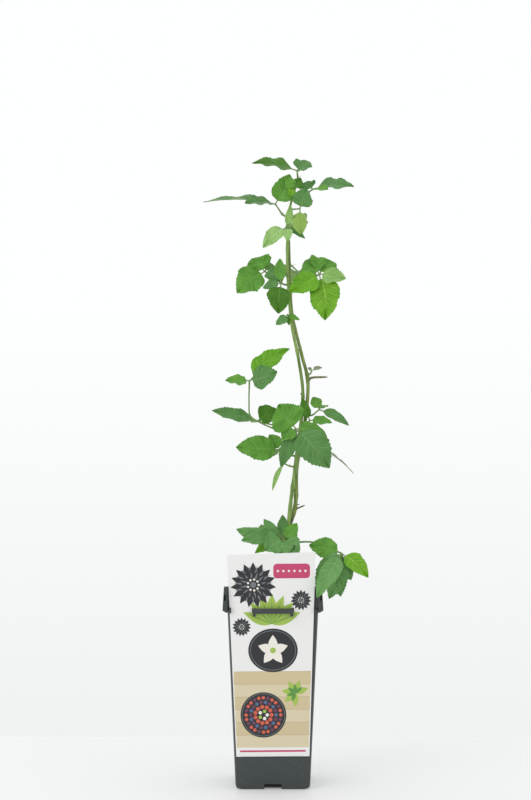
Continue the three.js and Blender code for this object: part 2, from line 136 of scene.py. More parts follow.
# Moulded polypropylene: satin, with faint flow clouds, pale scuffs and a fine eroded grain. The
# real grain is about 0.1 mm wide: it is drawn five times as coarse, so that it shows.
polypropylene, tree, shader, place = new_finish("moulded_polypropylene", IOR=1.49)
clouds = add(tree, NOISE, {"Vector": place, "Scale": 1 / CLOUD, "Detail": 4})
scuffs = add(tree, NOISE, {"Vector": place, "Scale": 1 / SCUFF, "Detail": 5})
grain = add(tree, NOISE, {"Vector": place, "Scale": 1 / GRAIN, "Detail": 2})
cloudy = overlaid(tree, clouds, 0, 1, POT_SHADE, POT_GREY)
dusty = overlaid(tree, scuffs, 0.55, 0.8, cloudy, POT_DUST, 0.5)
limits = {"Value": clouds, "From Min": 0.3, "From Max": 0.7, "To Min": 0.4, "To Max": 0.52}
gloss = add(tree, RANGE, limits)
surfaced(tree, shader, dusty, grain, GRAIN_DEPTH, 0.5)
tree.links.new(gloss.outputs[0], shader.inputs["Roughness"])

pot_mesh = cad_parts["pot"].data.copy()
shape = bmesh.new()
shape.from_mesh(pot_mesh)
bmesh.ops.remove_doubles(shape, verts=shape.verts, dist=SEAM)
bmesh.ops.dissolve_limit(
    shape, angle_limit=math.radians(FLAT_ANGLE), verts=shape.verts, edges=shape.edges
)
shape.to_mesh(pot_mesh)
shape.free()
pot = new_piece("moulded_pot", pot_mesh, polypropylene)
rounding = pot.modifiers.new("rounding", "BEVEL")
rounding.width = EDGE_ROUND
rounding.segments = 2
rounding.limit_method = "ANGLE"
rounding.angle_limit = math.radians(EDGE_ANGLE)
plain_mesh(pot)
smooth(pot.data, 30)
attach(pot, "root")
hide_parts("pot")


# The soil is moist peat-based potting mix, filled in loose and settled to 15 mm below the lip:
# a lumpy surface strewn with peat crumbs, brown fibres and a few white perlite grains.
SOIL_LEVEL = 185.0
SOIL_ROUGHNESS = 1.7
SOIL_INSET = 2.5
SOIL_HEAP = 1.2
SOIL_LUMPS = 0.09
EDGE_DROP = 1.5
MERGE = 0.02 * MM
BAY_BACK = 4.7
POT_FOOT_HALF = 41
POT_SLOPE = 8.9 / 200
PEAT_DARK = "#2a1b12"
PEAT_LIGHT = "#54392a"
PEAT_LUMP = 2.2
FIBRE = "#7b5635"
PERLITE = "#d9d6cb"
PIT_DEPTH = 0.5 * MM


def half_at(height):
    """The pot's half width in millimetres at a height, on its sloping side."""
    return POT_FOOT_HALF + POT_SLOPE * height


def crumbly(name, dark, light, lump, roughness):
    """Loose matter whose colour varies over lumps of the given size in millimetres."""
    material, tree, shader, place = new_finish(name, Roughness=roughness)
    lumps = add(tree, NOISE, {"Vector": place, "Scale": 1 / (lump * MM), "Detail": 5})
    surfaced(tree, shader, overlaid(tree, lumps, 0.35, 0.68, dark, light), lumps, PIT_DEPTH)
    return material


def skinned(name, rings, closed=True):
    """A mesh with a skin over rings of the same number of points, closed at both ends or open."""
    count = len(rings[0])
    last = (len(rings) - 1) * count
    faces = []
    for first in range(0, last, count):
        for i in range(count):
            here, beside = first + i, first + (i + 1) % count
            faces.append((here, beside, beside + count, here + count))
    if closed:
        faces += [tuple(reversed(range(count))), tuple(range(last, last + count))]
    mesh = bpy.data.meshes.new(name)
    mesh.from_pydata([point for ring in rings for point in ring], [], faces)
    return mesh


def new_rule(name, **inputs):
    """An empty Geometry Nodes tree, its inputs, whose labels are given by kind, and its output."""
    tree = bpy.data.node_groups.new(name, "GeometryNodeTree")
    tree.interface.new_socket("Geometry", in_out="INPUT", socket_type="NodeSocketGeometry")
    for kind, labels in inputs.items():
        for label in labels.split(", "):
            tree.interface.new_socket(label, in_out="INPUT", socket_type="NodeSocket" + kind)
    tree.interface.new_socket("Geometry", in_out="OUTPUT", socket_type="NodeSocketGeometry")
    given = add(tree, "NodeGroupInput", {})
    result = add(tree, "NodeGroupOutput", {})
    return tree, given.outputs, result.inputs["Geometry"]


def copies(rule, points, pattern, **how):
    """Puts a copy of the pattern object's mesh on each point."""
    mesh = add(rule, "GeometryNodeObjectInfo", {"Object": pattern}).outputs["Geometry"]
    return add(rule, "GeometryNodeInstanceOnPoints", {"Points": points, "Instance": mesh, **how})


def coat(rule, made, material, result):
    """Ends a rule: its instances become real mesh, in one material."""
    real = add(rule, "GeometryNodeRealizeInstances", {"Geometry": made})
    coated = add(rule, "GeometryNodeSetMaterial", {"Geometry": real, "Material": material})
    rule.links.new(coated.outputs[0], result)


def grow(name, base, rule, **sizes):
    """The plain mesh that a rule makes from a base mesh, as a new piece."""
    piece = new_piece(name, base)
    growth = piece.modifiers.new("growth", "NODES")
    growth.node_group = rule
    for socket in rule.interface.items_tree:
        label = socket.name.replace(" ", "_")
        if socket.in_out == "INPUT" and label in sizes:
            growth[socket.identifier] = sizes[label]
    return plain_mesh(piece)


peat = crumbly("moist_peat", PEAT_DARK, PEAT_LIGHT, PEAT_LUMP, 0.95)
bark_fibre = crumbly("bark_fibre", "#4c331f", FIBRE, 1.5, 0.9)
perlite = crumbly("perlite", "#b9b4a6", PERLITE, 1.2, 0.85)
# The soil block below the surface is given a near-black peat, darker than the peat on top: painted
# shade for the soil inside the pot
soil_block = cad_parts["soil"].data
soil_block.materials.clear()
soil_block.materials.append(crumbly("packed_peat", "#130e0b", "#241a14", PEAT_LUMP, 0.95))

# The settled surface: level rings from the wall inwards, lifted into lumps
AROUND = 96
INWARD = 30
CORNER_REACH = 1.32
soil_half = half_at(SOIL_LEVEL) - SOIL_INSET
bay_line = BAY_BACK - half_at(SOIL_LEVEL)
rings = []
for step in range(INWARD + 1):
    share = 1 - step / INWARD
    ring = []
    for i in range(AROUND):
        angle = 2 * math.pi * i / AROUND
        square = max(abs(math.cos(angle)), abs(math.sin(angle)))
        reach = min(soil_half / square, soil_half * CORNER_REACH) * share
        spot = Vector((reach * math.cos(angle), reach * math.sin(angle), 0))
        spot.y = max(spot.y, bay_line)
        lumps = noise.fractal(spot * SOIL_LUMPS, 1, 2, 5)
        height = SOIL_LEVEL + SOIL_HEAP + SOIL_ROUGHNESS * lumps
        if step == 0:
            height = SOIL_LEVEL - EDGE_DROP
        ring.append((spot.x * MM, spot.y * MM, height * MM))
    rings.append(ring)
surface = skinned("soil_surface", rings, closed=False)
shape = bmesh.new()
shape.from_mesh(surface)
bmesh.ops.remove_doubles(shape, verts=shape.verts, dist=MERGE)
shape.to_mesh(surface)
shape.free()

# Strewing: points over the surface, each with a turned and scaled lump
strewing, given, result = new_rule(
    "strewing",
    Object="Lump", Float="Density", Vector="Smallest, Largest", Int="Seed", Material="Material",
)
spots = add(
    strewing,
    "GeometryNodeDistributePointsOnFaces",
    {"Mesh": given["Geometry"], "Density": given["Density"], "Seed": given["Seed"]},
)
size, turn = (
    add(
        strewing,
        "FunctionNodeRandomValue",
        {0: least, 1: most, "Seed": given["Seed"]},
        data_type="FLOAT_VECTOR",
    )
    for least, most in (
        (given["Smallest"], given["Largest"]),
        ((-0.5, -0.5, -math.pi), (0.5, 0.5, math.pi)),
    )
)
strewn = copies(strewing, spots, given["Lump"], Rotation=turn, Scale=size)
coat(strewing, strewn, given["Material"], result)

lump_mesh = bpy.data.meshes.new("crumb")
shape = bmesh.new()
bmesh.ops.create_icosphere(shape, subdivisions=1, radius=1)
for corner in shape.verts:
    corner.co *= 1 + 0.5 * noise.noise(corner.co * 1.3 + Vector((3, 1, 2)))
shape.to_mesh(lump_mesh)
shape.free()
crumb = new_piece("crumb", lump_mesh)

# What is strewn: its name, how many to a square metre, its least and greatest size in
# millimetres, its seed and its material
STREWN = [
    ("peat_crumbs", 210000, (0.5, 0.5, 0.4), (1.7, 1.5, 1.1), 3, peat),
    ("bark_fibres", 24000, (0.25, 1.2, 0.2), (0.6, 4.6, 0.5), 8, bark_fibre),
    ("perlite_grains", 6500, (0.6, 0.6, 0.5), (1.5, 1.4, 1.1), 14, perlite),
]
for name, density, smallest, largest, seed, material in STREWN:
    piece = grow(
        name,
        surface.copy(),
        strewing,
        Lump=crumb,
        Density=float(density),
        Smallest=[MM * s for s in smallest],
        Largest=[MM * s for s in largest],
        Seed=seed,
        Material=material,
    )
    smooth(piece.data, 50)
    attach(piece, "root")
bpy.data.objects.remove(crumb)
settled = new_piece("soil_surface", surface, peat)
smooth(surface, 60)
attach(settled, "root")


# The woody stem is last year's cut-back cane, 20 mm of it above the soil: grey-brown bark that
# splits lengthwise, flaring at its foot, with the two green shoots growing out of its top.
WOOD_MIDDLE = (12.5, 7.0)
WOOD_RADII = [(-1.0, 12.0), (0.3, 11.4), (3.8, 8.0), (9.3, 6.9), (18.0, 6.9), (20.3, 6.2)]
BARK_DARK = "#3f2f22"
BARK_LIGHT = "#8b7355"
BARK_FIBRE_WIDTH = 1.1 * MM
SPLIT_DEPTH = 0.6 * MM
BARK_LUMPS = 0.09
BARK_RIDGE = 0.28
STEM_RINGS = 48
STEM_SIDES = 64

bark, tree, shader, place = new_finish("cane_bark", Roughness=0.85)
stretched = add(tree, "ShaderNodeMapping", {"Vector": place, "Scale": (1, 1, 0.18)})
drawn = {"Vector": stretched, "Scale": 1 / BARK_FIBRE_WIDTH, "Detail": 6, "Roughness": 0.6}
fibres = add(tree, NOISE, drawn)
colour = overlaid(tree, fibres, 0.36, 0.64, BARK_DARK, BARK_LIGHT)
surfaced(tree, shader, colour, fibres, SPLIT_DEPTH)

heights = np.linspace(WOOD_RADII[0][0], WOOD_RADII[-1][0], STEM_RINGS)
widths = np.interp(heights, *zip(*WOOD_RADII))
rings = []
for height, width in zip(heights, widths):
    ring = []
    for angle in np.linspace(0, 2 * math.pi, STEM_SIDES, endpoint=False):
        way = Vector((math.cos(angle), math.sin(angle), 0))
        groove = way * 3.1 + Vector((0, 0, height * 0.05))
        ridge = noise.ridged_multi_fractal(groove, 1, 2, 4, 1, 2)
        lump = noise.noise(way * 1.2 + Vector((5, 2, height * 0.12)))
        radius = width * (1 + BARK_LUMPS * lump) - BARK_RIDGE * ridge
        ring.append(
            (
                (WOOD_MIDDLE[0] + radius * way.x) * MM,
                (WOOD_MIDDLE[1] + radius * way.y) * MM,
                (SOIL_LEVEL + height) * MM,
            )
        )
    rings.append(ring)
stem = new_piece("barked_stem", skinned("barked_stem", rings), bark)
smooth(stem.data, 60)
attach(stem, "root")
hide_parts("woody_stem")


# The two shoots are this year's soft green canes, about 5 mm thick at the foot and 2.5 to 3 mm
# at the tip. They are faintly ribbed, swell where a leaf leaves them, and brown near the ground.
# A skin is its dark, pale and brown colour, where the brown ends and where it turns paler.
SHOOTS = {
    "shoot_tall": {
        "radii": (2.4, 1.2),
        "skin": ("#4a6a26", "#8cab55", "#55492c", 300, 470),
        "bends": [
            (16, 6, 206), (18, -3, 292), (26, -3, 360), (33.6, 0, 431), (28.4, -1.5, 474),
            (21.2, -3, 510), (16, 0, 583), (19, 1, 640), (27, 0, 670),
        ],
    },
    "shoot_second": {
        "radii": (2.6, 1.5),
        "skin": ("#5a762d", "#93a458", "#55492c", 325),
        "bends": [
            (9, 8, 206), (15, 5, 272), (25, 4, 308), (27, 4, 353), (34, 4, 388), (39.3, 5, 447),
            (33.2, 4, 474), (26.6, 4, 500), (21.5, 4, 524), (19, 5, 570), (18, 6, 606),
        ],
    },
}
SHOOT_STEPS = 220
STUB_HEIGHT = 452

# Each leaf: its shoot, the height it leaves it at, the joint of its leaflets, a row for each
# leaflet, and any bends of its stalk. A leaflet's row is its reach right, back and up, its
# width, how far it looks round from straight up (0) to the front (90), and its tint.
LEAVES = {
    "leaf_crown": ("shoot_tall", 670, (27, 0, 683), [
        (-50, -10, 7, 28, 35, "deep"), (14, 14, 12, 22, 45, "grey"),
        (17, -10, 3, 18, 40, "grey")]),
    "leaf_high_right": ("shoot_tall", 652, (45, -4, 662), [
        (45, -12, 1, 29, 33, "grey"), (-11, 14, 8, 21, 58, "grey"), (16, -20, -3, 17, 25, "mid")]),
    "leaf_young_tip": ("shoot_tall", 656, (24, -14, 661), [
        (-8, -3, 13, 13, 80, "mid"), (7, -2, 12, 13, 80, "deep"), (-6, -3, -9, 10, 80, "bright")]),
    "leaf_high_round": ("shoot_tall", 640, (30, -13, 639), [
        (7, -10, 22, 23, 85, "grey"), (2, -5, -29, 17, -85, "pale")]),
    "leaf_high_left": ("shoot_tall", 632, (3, -4, 645), [
        (-80, -12, 1, 28, 23, "grey"), (-34, -26, -2, 20, 36, "grey"),
        (16, -4, 33, 26, 75, "mid")]),
    "leaf_high_back": ("shoot_tall", 624, (28, 27, 628), [
        (4, 26, -8, 23, -45, "mid"), (-12, 18, 9, 20, -40, "deep"), (11, 16, 6, 18, -50, "mid")]),
    "leaf_young_left": ("shoot_tall", 613, (15, -9, 619), [
        (-26, -10, -24, 17, 75, "young"), (2, -9, -17, 11, 85, "young"),
        (21, 0, -13, 9, 50, "grey"), (4, -6, 24, 9, 80, "pale")]),
    "leaf_upper_left": ("shoot_second", 556, (-9, 8, 571), [
        (-15, 12, 15, 32, 60, "mid"), (-31, -12, -25, 33, 75, "mid"),
        (17, -10, -12, 18, 70, "grey"), (10, 20, 9, 18, 55, "mid")]),
    "leaf_upper_centre": ("shoot_tall", 566, (9, -15, 556), [
        (-3, -6, -34, 26, 85, "deep"), (-20, 4, -5, 13, 50, "grey"), (-1, 3, 28, 13, 80, "mid")]),
    "leaf_upper_right": ("shoot_second", 548, (52, -8, 567), [
        (6, -10, -52, 34, 90, "bright"), (-34, -15, -21, 26, 75, "fresh"),
        (29, -9, -6, 22, 65, "pale"), (-14, 15, 17, 30, 65, "mid"), (12, 19, 17, 36, 65, "mid")]),
    "leaf_upper_back": ("shoot_second", 578, (28, 32, 573), [
        (-18, 20, -5, 24, -45, "mid"), (22, 18, -4, 24, -45, "deep"),
        (3, 28, -14, 24, -50, "mid")]),
    "leaf_node_small": ("shoot_tall", 520, (16.5, -9, 521.5), [
        (-13, -3, -11.5, 11, 70, "soft"), (13.5, -4, -6, 7, 60, "mid"),
        (1.5, -2, -12, 6, 80, "deep")]),
    "leaf_mid_tiny": ("shoot_second", 455, (44, 2, 460), [
        (-5, -1, 2.5, 4, 60, "faded"), (11.5, -2, 2.5, 6, 50, "faded")]),
    "leaf_mid_left": ("shoot_tall", 386, (-26, -6, 448), [
        (45, 8, 36, 26, 55, "fresh"), (31, -12, 10, 28, 60, "grey"), (-27, -6, 0, 18, 45, "mid")],
        (8, -6, 392), (-15, -6, 402), (-25, -6, 409), (-26.5, -6, 424)),
    "leaf_mid_right": ("shoot_second", 410, (52, 2, 416), [
        (-7, 9, 14, 13, 60, "mid"), (33, -8, -18, 11.5, 60, "grey"), (4, 22, 5, 14, 20, "mid")]),
    "leaf_mid_small": ("shoot_second", 398, (41, -8, 404), [
        (25, -4, -3, 14, 50, "mid"), (-8, -1, 25, 11, 75, "deep")]),
    "leaf_low_long": ("shoot_second", 391, (-18, 8, 403), [
        (-50, -8, 12, 18, 45, "grey"), (26, 8, 11, 24, 70, "deep"), (-6, 30, -2, 20, 20, "mid")]),
    "leaf_front": ("shoot_tall", 380, (25, -30, 395), [
        (-19, -10, 27, 40, 75, "mid"), (-16.5, -2, -42, 17, 85, "grey"),
        (-15, -8, -12, 17, 80, "mid"), (37, -8, -43, 38, 85, "grey"),
        (34, 14, -6, 17, 50, "mid")]),
    "leaf_low_big": ("shoot_tall", 364, (8, -5, 371), [
        (-49, -6, 3, 29, 80, "mid"), (-12, 4, 17, 16, 75, "mid"), (-8, 24, -8, 22, 30, "deep")]),
    "leaf_low_narrow": ("shoot_tall", 352, (12, -8, 356), [
        (-12.5, -3, -30.5, 5.5, 85, "pale")]),
    "leaf_low_back": ("shoot_second", 366, (51, 27, 374), [
        (41, 8, -31, 13, 14, "faded"), (-6, 30, -9, 26, -45, "mid"),
        (-24, 17, -5, 24, -40, "deep")]),
    "leaf_base_left": ("shoot_second", 268, (8, -6, 273), [
        (-48.5, -10, 10.5, 19, 75, "soft"), (-43, -14, -2, 20, 75, "soft"),
        (-18, 2, 21, 12.5, 70, "soft"), (3, 5, 25.5, 13, 80, "grey"),
        (-28, -3, -17, 13, 70, "bright")]),
    "leaf_base_front": ("shoot_tall", 258, (12, -17, 272), [
        (-21, -14, -11, 27, 75, "soft"), (17, -14, -14, 26, 75, "soft"),
        (-2, -16, -18, 28, 75, "soft"), (15, 3, 18, 15, 75, "mid"), (14, 4, -1, 14, 75, "deep")]),
    "leaf_base_right": ("shoot_tall", 268, (76, -20, 257), [
        (-36, 2, 9, 23, 75, "mid"), (29, -10, -26, 20, 65, "bright"),
        (-20, -10, -17, 16, 75, "soft"), (11, 4, -30, 19, 85, "soft"),
        (-1, 0, -48, 21, 88, "soft"), (-14, -4, -50, 24, 85, "soft"),
        (-27, -8, -43, 24, 80, "soft"), (-29, -50, -44, 21, 80, "soft")], (46, -6, 268)),
    "leaf_base_back": ("shoot_second", 280, (8, 36, 276), [
        (-27, 12, -3, 26, -40, "mid"), (2, 28, -16, 28, -45, "deep"),
        (20, 16, -6, 22, -50, "mid")]),
}


def smooth_path(bends, steps):
    """Evenly spaced points on a smooth curve through the bends, in millimetres."""
    stops = np.array(bends, float)
    stops = np.vstack([2 * stops[0] - stops[1], stops, 2 * stops[-1] - stops[-2]])
    fine = []
    for p0, p1, p2, p3 in zip(stops, stops[1:], stops[2:], stops[3:]):
        t1 = np.linalg.norm(p1 - p0) ** 0.5
        t2 = t1 + np.linalg.norm(p2 - p1) ** 0.5
        t3 = t2 + np.linalg.norm(p3 - p2) ** 0.5
        t = np.linspace(t1, t2, 60)[:, None]
        a1 = p0 + (p1 - p0) * t / t1
        a2 = p1 + (p2 - p1) * (t - t1) / (t2 - t1)
        a3 = p2 + (p3 - p2) * (t - t2) / (t3 - t2)
        b1 = a1 + (a2 - a1) * t / t2
        b2 = a2 + (a3 - a2) * (t - t1) / (t3 - t1)
        fine.append(b1 + (b2 - b1) * (t - t1) / (t2 - t1))
    fine = np.vstack(fine)
    lengths = np.r_[0, np.cumsum(np.linalg.norm(np.diff(fine, axis=0), axis=1))]
    even = np.linspace(0, lengths[-1], steps + 1)
    return np.stack([np.interp(even, lengths, fine[:, k]) for k in range(3)], axis=1)


def unit(way):
    """A vector at length one."""
    return way / np.linalg.norm(way)


def stem_at(name, height):
    """Where a shoot passes a height: its middle, direction, radius and if that is its tip."""
    path = shoot_paths[name]
    thick, thin = SHOOTS[name]["radii"]
    above = np.nonzero(path[:, 2] > height)[0]
    tip = len(above) == 0
    upper = len(path) - 1 if tip else max(above[0], 1)
    low, high = path[upper - 1], path[upper]
    share = 1 if tip else (height - low[2]) / (high[2] - low[2])
    along = (upper - 1 + share) / (len(path) - 1)
    return low + (high - low) * share, unit(high - low), thick + (thin - thick) * along, tip


def stalk_start(name, height, toward):
    """Where a stalk leaves a shoot's skin, and the way it sets off."""
    middle, along, radius, tip = stem_at(name, height)
    if tip:
        return middle, along
    out = np.array(toward, float) - middle
    out[2] = 0
    out = unit(out - along * out.dot(along))
    return middle + out * radius * 0.7, out


def stems(name, rows, **sizes):
    """A piece with a stem round each line, a list of points with a radius at every point."""
    points = []
    edges = []
    radii = []
    for path, thickness in rows:
        first = len(points)
        points += [tuple(point * MM) for point in path]
        radii += [radius * MM for radius in thickness]
        edges += [(i, i + 1) for i in range(first, len(points) - 1)]
    mesh = bpy.data.meshes.new(name)
    mesh.from_pydata(points, edges, [])
    mesh.attributes.new("thickness", "FLOAT", "POINT").data.foreach_set("value", radii)
    piece = grow(name, mesh, stem_rule, **sizes)
    smooth(piece.data, 60)
    return piece


MATH = "ShaderNodeMath"
VECTOR = "ShaderNodeVectorMath"
MOVE = "GeometryNodeSetPosition"
ATTRIBUTE = "GeometryNodeInputNamedAttribute"
STEM_BUMP = 5.26316 * MM


def work_out(tree, known, kind, sums):
    """Adds a row of sums: each has a name and an operation, then numbers or what is known."""
    for name, operation, *terms in sums:
        sockets = (0, "Scale") if operation == "SCALE" else range(len(terms))
        inputs = {socket: known.get(term, term) for socket, term in zip(sockets, terms)}
        made = add(tree, kind, inputs, operation=operation)
        known[name] = made.outputs["Value"] if operation == "LENGTH" else made


# A stem round each line: a ribbed ring is swept along it, as thick as the line says, and its
# skin is made a little uneven.
stem_rule, given, result = new_rule(
    "ribbed_stem", Int="Sides", Float="Ribs, Rib Depth, Unevenness", Material="Material"
)
lines = add(stem_rule, "GeometryNodeMeshToCurve", {"Mesh": given["Geometry"]})
thickness = add(stem_rule, ATTRIBUTE, {"Name": "thickness"}, data_type="FLOAT")
circle = add(
    stem_rule, "GeometryNodeCurvePrimitiveCircle", {"Resolution": given["Sides"], "Radius": 1}
)
bumps = add(stem_rule, NOISE, {"Scale": 1 / STEM_BUMP, "Detail": 3})
spot = add(stem_rule, "GeometryNodeInputPosition", {})
flat = add(stem_rule, "ShaderNodeSeparateXYZ", {0: spot})
known = {socket.name: socket for socket in [*given, *flat.outputs]}
known |= {"spot": spot, "bumps": bumps.outputs["Color"]}
work_out(stem_rule, known, MATH, [
    ("turn", "ARCTAN2", "Y", "X"),
    ("ribs", "MULTIPLY", "turn", "Ribs"),
    ("wave", "COSINE", "ribs"),
    ("swell", "MULTIPLY_ADD", "wave", "Rib Depth", 1),
])
work_out(stem_rule, known, VECTOR, [
    ("ribbed", "SCALE", "spot", "swell"),
    ("middling", "SUBTRACT", "bumps", (0.5, 0.5, 0.5)),
    ("shift", "SCALE", "middling", "Unevenness"),
])
profile = add(stem_rule, MOVE, {"Geometry": circle, "Position": known["ribbed"]})
swept = add(
    stem_rule,
    "GeometryNodeCurveToMesh",
    {"Curve": lines, "Profile Curve": profile, "Scale": thickness, "Fill Caps": True},
)
uneven = add(stem_rule, MOVE, {"Geometry": swept, "Offset": known["shift"]})
coat(stem_rule, uneven, given["Material"], result)

STREAK_WIDTH = 1.6 * MM
STREAK_DEPTH = 0.15 * MM
BLOTCH = 11.1111 * MM
PALER_OVER = 30
BROWN_OVER = 45
ABOVE_ALL = 900


def green_stem(name, dark, pale, brown, brown_top, young_from=ABOVE_ALL):
    """Soft green stem with long pale streaks, browner below one height, paler above another."""
    material, tree, shader, place = new_finish(name, Roughness=0.46)
    drawn = add(tree, "ShaderNodeMapping", {"Vector": place, "Scale": (1, 1, 0.06)})
    streaks = add(tree, NOISE, {"Vector": drawn, "Scale": 1 / STREAK_WIDTH, "Detail": 3})
    blotches = add(tree, NOISE, {"Vector": place, "Scale": 1 / BLOTCH, "Detail": 4})
    height = add(tree, "ShaderNodeSeparateXYZ", {0: place}).outputs["Z"]
    known = {"blotches": blotches}
    for label, value, low, high, most in (
        ("streaked", streaks, 0.35, 0.65, 1),
        ("young", height, young_from * MM, (young_from + PALER_OVER) * MM, 0.45),
        ("low", height, brown_top * MM, (brown_top - BROWN_OVER) * MM, 1.1),
    ):
        limits = {"Value": value, "From Min": low, "From Max": high, "To Max": most}
        known[label] = add(tree, RANGE, limits)
    work_out(tree, known, MATH, [
        ("paler", "ADD", "streaked", "young"),
        ("ripe", "MULTIPLY", "low", "blotches"),
    ])
    green = overlaid(tree, known["paler"], 0, 1, dark, pale)
    colour = overlaid(tree, known["ripe"], 0.25, 0.5, green, brown, 0.85)
    surfaced(tree, shader, colour, streaks, STREAK_DEPTH)
    return material


shoot_paths = {name: smooth_path(shoot["bends"], SHOOT_STEPS) for name, shoot in SHOOTS.items()}
shoot_nodes = {name: [] for name in SHOOTS}
for shoot, height, *_ in LEAVES.values():
    shoot_nodes[shoot].append(height)
shoot_nodes["shoot_second"] += [STUB_HEIGHT - 3, 300, 306, 320]
shoot_nodes["shoot_tall"] += [232, 330, 430, 480, 595]
FOOT_FLARE = 0.25
FLARE_SHARE = 0.02
NODE_SWELL = 0.22
NODE_LENGTH = 3.2
FOOT_SINK = 3

for name, shoot in SHOOTS.items():
    path = shoot_paths[name]
    thick, thin = shoot["radii"]
    share = np.linspace(0, 1, len(path))
    flare = 1 + FOOT_FLARE * np.clip(1 - share / FLARE_SHARE, 0, 1)
    radii = (thick + (thin - thick) * share) * flare
    for height in shoot_nodes[name]:
        radii = radii * (1 + NODE_SWELL * np.exp(-(((path[:, 2] - height) / NODE_LENGTH) ** 2)))
    sunk = np.vstack([path[0] - (0, 0, FOOT_SINK), path])
    piece = stems(
        "cane_" + name.split("_")[1],
        [(sunk, np.r_[radii[0], radii])],
        Sides=20, Ribs=5.0, Rib_Depth=0.05, Unevenness=0.5 * MM,
        Material=green_stem(name + "_skin", *shoot["skin"]),
    )
    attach(piece, "root")
    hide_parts(name)


# The cut side stub and a few short dead spurs, brown and about 2 mm thick or less, stand out
# from the shoots' nodes. Each has its shoot, height, reach and two radii.
SPURS = [
    ("shoot_second", STUB_HEIGHT, (22, -1, 0.3), (1.4, 1.05)),
    ("shoot_second", 304, (11, -2, 4.5), (1.0, 0.8)),
    ("shoot_second", 310, (4, 1, -0.5), (0.8, 0.5)),
    ("shoot_second", 322, (-3, -2, 4), (0.7, 0.4)),
    ("shoot_tall", 480, (2.5, -1, 4), (0.9, 0.4)),
    ("shoot_tall", 430, (-2.5, -1, 4), (0.9, 0.4)),
]
SPUR_BEND = 0.14


def spur(name, height, reach, radii):
    """A short side spur that bends out of a shoot, with a rounded end."""
    middle, _, radius, _ = stem_at(name, height)
    way = np.array(reach, float)
    start = middle + unit(way) * radius * 0.3
    sag = np.array((0, 0, SPUR_BEND * np.linalg.norm(way)))
    stops = np.linspace(0, 1, 7)
    path = [start + way * stop - sag * (1 - stop) ** 8 for stop in stops]
    thickness = [radii[0] + (radii[1] - radii[0]) * stop for stop in stops]
    thickness[0] *= 1.5
    thickness[-1] *= 0.5
    return path, thickness


spurs = stems(
    "side_spurs",
    [spur(*row) for row in SPURS],
    Sides=12, Ribs=3.0, Rib_Depth=0.05, Unevenness=0.4 * MM,
    Material=green_stem("dead_spur_skin", "#5a5a34", "#8b8f58", "#51472f", 480),
)
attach(spurs, "root")
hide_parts("side_stub")


# The leaf stalks are thin green petioles, about 2 mm thick, each with a sheathed foot on its
# shoot, a pair of thread-like stipules near it, and a small swollen joint where the leaflets'
# own short stalks meet.
STALK_RADIUS = 1.12
STALK_TAPER = 0.3
SHEATH_SWELL = 0.6
JOINT_SWELL = 0.3
STALK_LEAD = 5
STIPULE_REACH = 6.5
STIPULE_RADII = (0.42, 0.16)
LEAFLET_STALK_RADIUS = 0.72
LEAFLET_STALK_SHARE = 0.15
FULL_LEAFLET = 24
RIB_ARCH = 0.2
stalk_skin = green_stem("petiole_skin", "#567a38", "#84a45a", "#6b5a3c", 235)
leaflet_rows = []
stalk_rows = []
for shoot, height, joint, leaflets, *bends in LEAVES.values():
    joint = np.array(joint, float)
    first = np.array(bends[0] if bends else joint, float)
    start, out = stalk_start(shoot, height, first)
    lead = min(STALK_LEAD, np.linalg.norm(first - start) / 3)
    path = smooth_path([start, start + out * lead, *bends, joint], 12 + 10 * len(bends))
    share = np.linspace(0, 1, len(path))
    swell = SHEATH_SWELL * np.exp(-share * 14) + JOINT_SWELL * np.exp(-(1 - share) * 16)
    stalk_rows.append((path, STALK_RADIUS - STALK_TAPER * share + swell))
    foot, onward = path[2], unit(path[3] - path[2])
    across = unit(np.cross(onward, (0, 0.2, 1)))
    length = min(STIPULE_REACH, np.linalg.norm(joint - start) / 2)
    for side in (-1, 1):
        stops = np.linspace(0, 1, 6)[:, None]
        thread = foot + length * stops * (onward * 0.8 + across * side * 0.6)
        thread = thread + length * 0.3 * stops**2 * np.array((0, 0, 1))
        stalk_rows.append((thread, np.linspace(*STIPULE_RADII, 6)))
    for right, back, up, width, look, tint in leaflets:
        reach = np.array((right, back, up), float)
        length = np.linalg.norm(reach)
        along = unit(reach)
        angle = math.radians(look)
        facing = np.array((0, -math.sin(angle), math.cos(angle)))
        facing = unit(facing - along * facing.dot(along))
        leaflet_rows.append((tint, joint, reach, facing, width))
        places = np.linspace(0, LEAFLET_STALK_SHARE, 5)[:, None]
        rib = joint + places * reach + facing * RIB_ARCH * length * places * (1 - places)
        thickness = LEAFLET_STALK_RADIUS * min(1, length / FULL_LEAFLET)
        stalk_rows.append((rib, np.linspace(1.2 * thickness, 0.85 * thickness, 5)))
stalks = stems(
    "leaf_stalks",
    stalk_rows,
    Sides=10, Ribs=2.0, Rib_Depth=0.06, Unevenness=0.2 * MM, Material=stalk_skin,
)
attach(stalks, "root")


